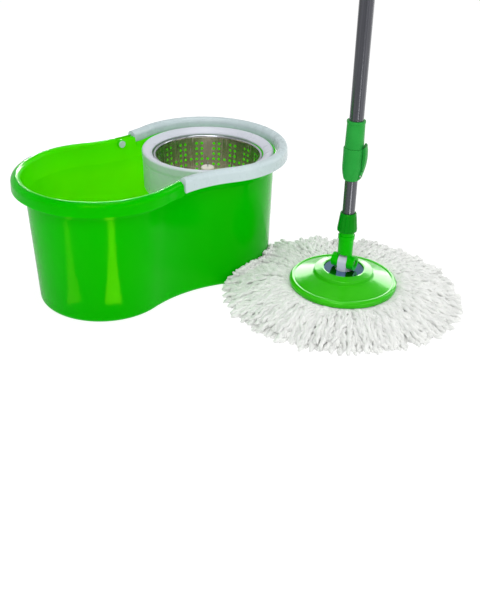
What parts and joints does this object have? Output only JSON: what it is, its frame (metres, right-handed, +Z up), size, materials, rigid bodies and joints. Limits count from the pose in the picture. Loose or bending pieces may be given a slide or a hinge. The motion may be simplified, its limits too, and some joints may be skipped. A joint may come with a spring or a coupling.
{
  "type": "spin mop",
  "caption": "Peanut-shaped mop bucket with swinging handle and perforated spin basket, beside a round microfibre mop on a telescopic push pole with flip lock.",
  "frame": {"origin": "centre of the bucket's base, on the floor", "axes": "+X from the open lobe towards the basket, +Y away from the mop, +Z up"},
  "size_m": [0.5792, 0.5407, 1],
  "materials": {
    "green_plastic": "glossy moulded polypropylene",
    "pale_plastic": "satin moulded plastic",
    "plate_green": "glossy moulded plastic",
    "lock_green": "satin moulded plastic",
    "collar_green": "glossy moulded plastic",
    "cream_plastic": "moulded plastic",
    "white_plastic": "moulded plastic",
    "acetal": "bearing plastic",
    "steel_sheet": "bright perforated sheet",
    "polished_steel": "polished",
    "tube_grey": "satin coated steel tube",
    "zinc_steel": "zinc plated",
    "microfibre": "looped microfibre yarn",
    "grip_green": "soft grip"
  },
  "bodies": {
    "bucket": {"bucket_body": "green_plastic", "pivot_pins": "pale_plastic", "spindle": "zinc_steel", "basket_collar": "pale_plastic"},
    "handle": {"carry_handle": "pale_plastic"},
    "basket_seat": {"basket_bush": "acetal"},
    "basket": {"basket_wall": "steel_sheet", "basket_rim": "polished_steel", "basket_floor": "steel_sheet", "centre_post": "cream_plastic", "post_spike": "zinc_steel", "post_screws": "zinc_steel"},
    "mop_head": {"mop_plate": "plate_green", "refill_ring": "white_plastic", "microfibre_strands": "microfibre", "steel_cover": "polished_steel", "pivot_block": "white_plastic", "block_screws": "zinc_steel"},
    "lower_pole": {"pole_fork": "green_plastic", "hinge_bolt": "zinc_steel", "hinge_nut": "zinc_steel", "inner_tube": "tube_grey", "collet": "acetal"},
    "screw_ring": {"screw_collar": "collar_green"},
    "pole_bush": {"guide_bush": "acetal"},
    "ratchet_nut": {"drive_nut": "acetal"},
    "upper_pole": {"outer_tube": "tube_grey", "drive_strip": "zinc_steel", "anchor_plug": "acetal", "anchor_rivet": "zinc_steel", "lock_body": "lock_green", "lever_pin": "zinc_steel", "lock_sleeve": "lock_green", "hand_grip": "grip_green", "hang_cap": "lock_green"},
    "flip_lever": {"lock_lever": "lock_green"}
  },
  "joints": [
    {"name": "handle_swing", "type": "hinge", "parent": "bucket", "child": "handle", "pos_m": [0, 0, 0.1925], "axis": [0, -1, 0], "range_deg": [0, 90]},
    {"name": "basket_lift", "type": "slide", "parent": "bucket", "child": "basket_seat", "axis": [0, 0, 1], "range_m": [0, 0.15]},
    {"name": "basket_spin", "type": "hinge", "parent": "basket_seat", "child": "basket", "pos_m": [0.101, 0, 0.12], "axis": [0, 0, 1], "continuous": true},
    {"name": "mop_carry", "type": "slide", "parent": "bucket", "child": "mop_head", "axis": [0.2261, -0.67, 0.7071], "range_m": [0, 0.4]},
    {"name": "mop_tilt", "type": "hinge", "parent": "mop_head", "child": "lower_pole", "pos_m": [0.181, -0.237, 0.064], "axis": [0.342, -0.9397, 0], "range_deg": [-80, 80]},
    {"name": "screw_ring_turn", "type": "hinge", "parent": "lower_pole", "child": "screw_ring", "pos_m": [0.181, -0.237, 0.125], "axis": [0, 0, 1], "range_deg": [0, 720]},
    {"name": "head_spin", "type": "hinge", "parent": "lower_pole", "child": "pole_bush", "pos_m": [0.181, -0.237, 0.6], "axis": [0, 0, 1], "continuous": true},
    {"name": "pole_press", "type": "slide", "parent": "pole_bush", "child": "upper_pole", "axis": [0, 0, 1], "range_m": [0, 0.3]},
    {"name": "nut_turn", "type": "hinge", "parent": "pole_bush", "child": "ratchet_nut", "pos_m": [0.181, -0.237, 0.584], "axis": [0, 0, 1], "range_deg": [-780, 0]},
    {"name": "lock_flip", "type": "hinge", "parent": "upper_pole", "child": "flip_lever", "pos_m": [0.18916, -0.24673, 0.2065], "axis": [0.766, 0.6428, 0], "range_deg": [0, 110]}
  ],
  "couplings": [
    {"joint": "nut_turn", "follows": "pole_press", "rad_per_m": -44.88}
  ]
}
